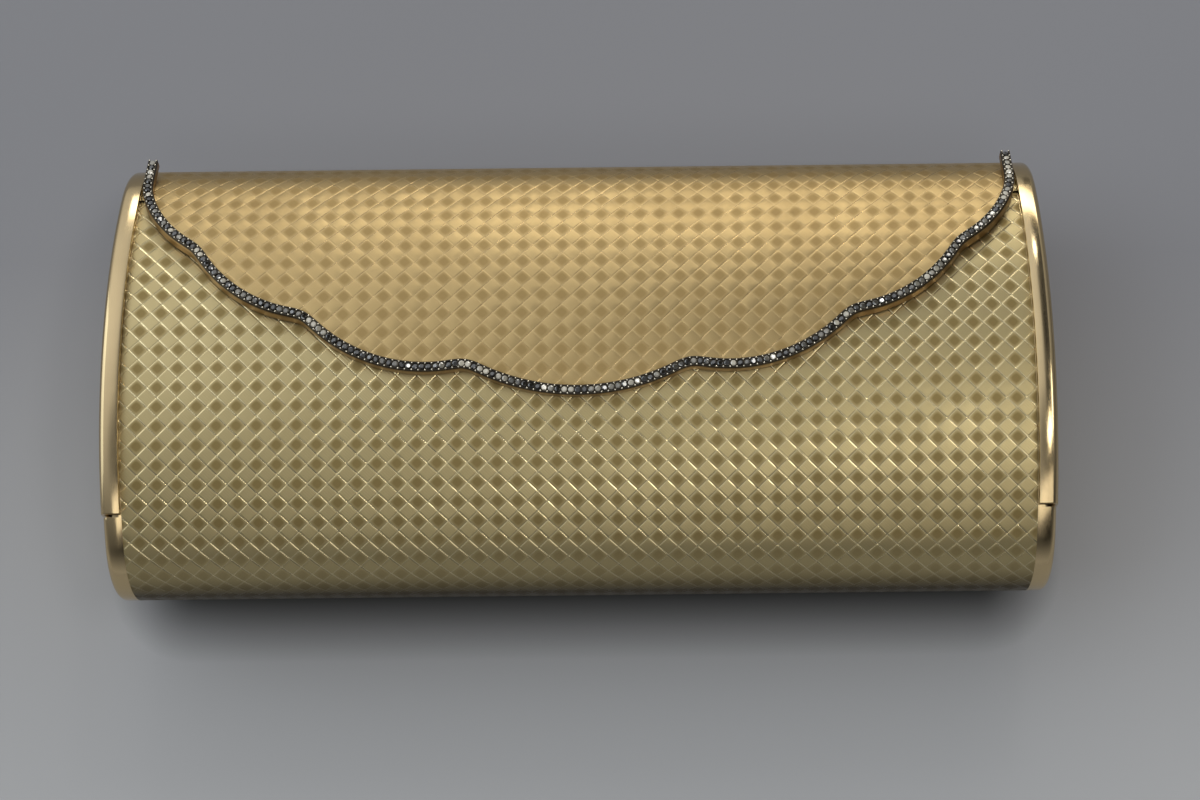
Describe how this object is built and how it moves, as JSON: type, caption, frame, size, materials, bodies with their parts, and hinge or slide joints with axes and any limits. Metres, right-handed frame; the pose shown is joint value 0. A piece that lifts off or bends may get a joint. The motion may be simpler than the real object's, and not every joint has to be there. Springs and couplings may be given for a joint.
{
  "type": "minaudiere",
  "caption": "Rigid gold evening clutch of oval section, with a scalloped hinged flap edged in small stones, polished end bands, and a lined case with a powder compartment.",
  "frame": {"origin": "on the flat of the back, below the middle of the outline", "axes": "+X along the case to the viewer's right, +Y from the foot to the hinged top, +Z from the back up to the flap"},
  "size_m": [0.168, 0.0806, 0.0439],
  "materials": {
    "patterned_gold": "yellow gold sheet engraved with a basketweave of fine hatched lozenges",
    "polished_gold": "polished yellow gold",
    "white_gold": "polished white metal channel with beaded edges",
    "brilliants": "small colourless cut stones",
    "suede": "brown suede lining",
    "suede_board": "thin board covered in the lining's suede",
    "puff": "soft velour powder puff",
    "mirror_glass": "silvered mirror"
  },
  "bodies": {
    "base": {"base_shell": "patterned_gold", "base_end_left": "polished_gold", "base_end_right": "polished_gold", "mouth_frame": "polished_gold", "base_hinge_leaf": "polished_gold", "hinge_pin": "polished_gold", "catch_keeper": "polished_gold", "case_lining": "suede", "divider": "suede_board", "powder_well": "polished_gold", "powder_pin": "polished_gold", "powder_puff": "puff", "lipstick_sleeve": "polished_gold"},
    "lid": {"flap": "patterned_gold", "lid_end_left": "polished_gold", "lid_end_right": "polished_gold", "lid_hinge_leaf": "polished_gold", "lid_lining": "suede", "corner_plate_left": "patterned_gold", "corner_plate_right": "patterned_gold", "catch_tongue": "polished_gold", "border_channel": "white_gold", "border_stones": "brilliants"},
    "powder_cover": {"powder_lid": "polished_gold", "powder_mirror": "mirror_glass"}
  },
  "joints": [
    {"name": "lid_hinge", "type": "hinge", "parent": "base", "child": "lid", "pos_m": [0, 0.02345, 0.00414], "axis": [-1, 0, 0], "range_deg": [0, 105]},
    {"name": "powder_cover_hinge", "type": "hinge", "parent": "base", "child": "powder_cover", "pos_m": [0.05305, 0.0025, 0.012], "axis": [-1, 0, 0], "range_deg": [0, 90]}
  ]
}
